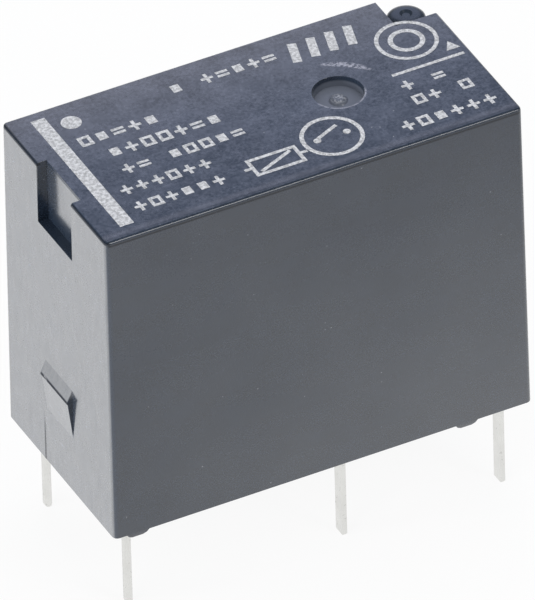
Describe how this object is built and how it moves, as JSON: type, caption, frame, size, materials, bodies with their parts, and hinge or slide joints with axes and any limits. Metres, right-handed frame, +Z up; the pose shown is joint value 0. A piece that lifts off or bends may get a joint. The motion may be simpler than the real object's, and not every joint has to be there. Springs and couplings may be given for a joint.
{
  "type": "pcb power relay",
  "caption": "Sealed miniature power relay for circuit boards: a moulded black case on tinned pins, with coil, rocking armature, card and a normally open contact inside.",
  "frame": {"origin": "on the plane of the pin tips, under the middle of the case", "axes": "+X along the case towards the contact end, +Y across it away from the contact pins, +Z up out of the board"},
  "size_m": [0.0204, 0.01, 0.0201],
  "materials": {
    "case": "satin, fine moulded texture",
    "base_moulding": "satin",
    "resin": "glossy",
    "bobbin": "satin",
    "copper": "enamelled wire",
    "tape": "film tape",
    "iron": "plated",
    "spring_bronze": "rolled",
    "rivet": "plated",
    "card": "satin",
    "silver": "bright",
    "tinned": "tinned"
  },
  "bodies": {
    "frame": {"cover": "case", "base": "base_moulding", "sealing_resin": "resin", "bobbin": "bobbin", "coil_winding": "copper", "coil_lead_front": "copper", "coil_lead_back": "copper", "coil_tape": "tape", "core": "iron", "yoke": "iron", "hinge_spring": "spring_bronze", "hinge_rivet": "rivet", "fixed_contact": "silver", "spring_rivet_front": "rivet", "spring_rivet_back": "rivet", "common_terminal": "tinned", "open_terminal": "tinned", "coil_pin_front": "tinned", "coil_pin_back": "tinned"},
    "armature": {"armature": "iron"},
    "card": {"actuator_card": "card"},
    "contact_spring": {"moving_spring": "spring_bronze", "moving_contact": "silver"}
  },
  "joints": [
    {"name": "armature_rock", "type": "hinge", "parent": "frame", "child": "armature", "pos_m": [0.0006, 0, 0.01758], "axis": [0, -1, 0], "range_deg": [0, 3.85], "stiffness_Nm_per_rad": 0.004, "springref_deg": -2.86},
    {"name": "card_slide", "type": "slide", "parent": "frame", "child": "card", "axis": [1, 0, 0], "range_m": [0, 0.00038]},
    {"name": "contact_spring_bend", "type": "hinge", "parent": "frame", "child": "contact_spring", "pos_m": [0.0064, 0, 0.00755], "axis": [0, 1, 0], "range_deg": [0, 4.98]}
  ],
  "couplings": [
    {"joint": "card_slide", "follows": "armature_rock", "m_per_rad": 0.005646},
    {"joint": "contact_spring_bend", "follows": "armature_rock", "ratio": 1.2921}
  ]
}
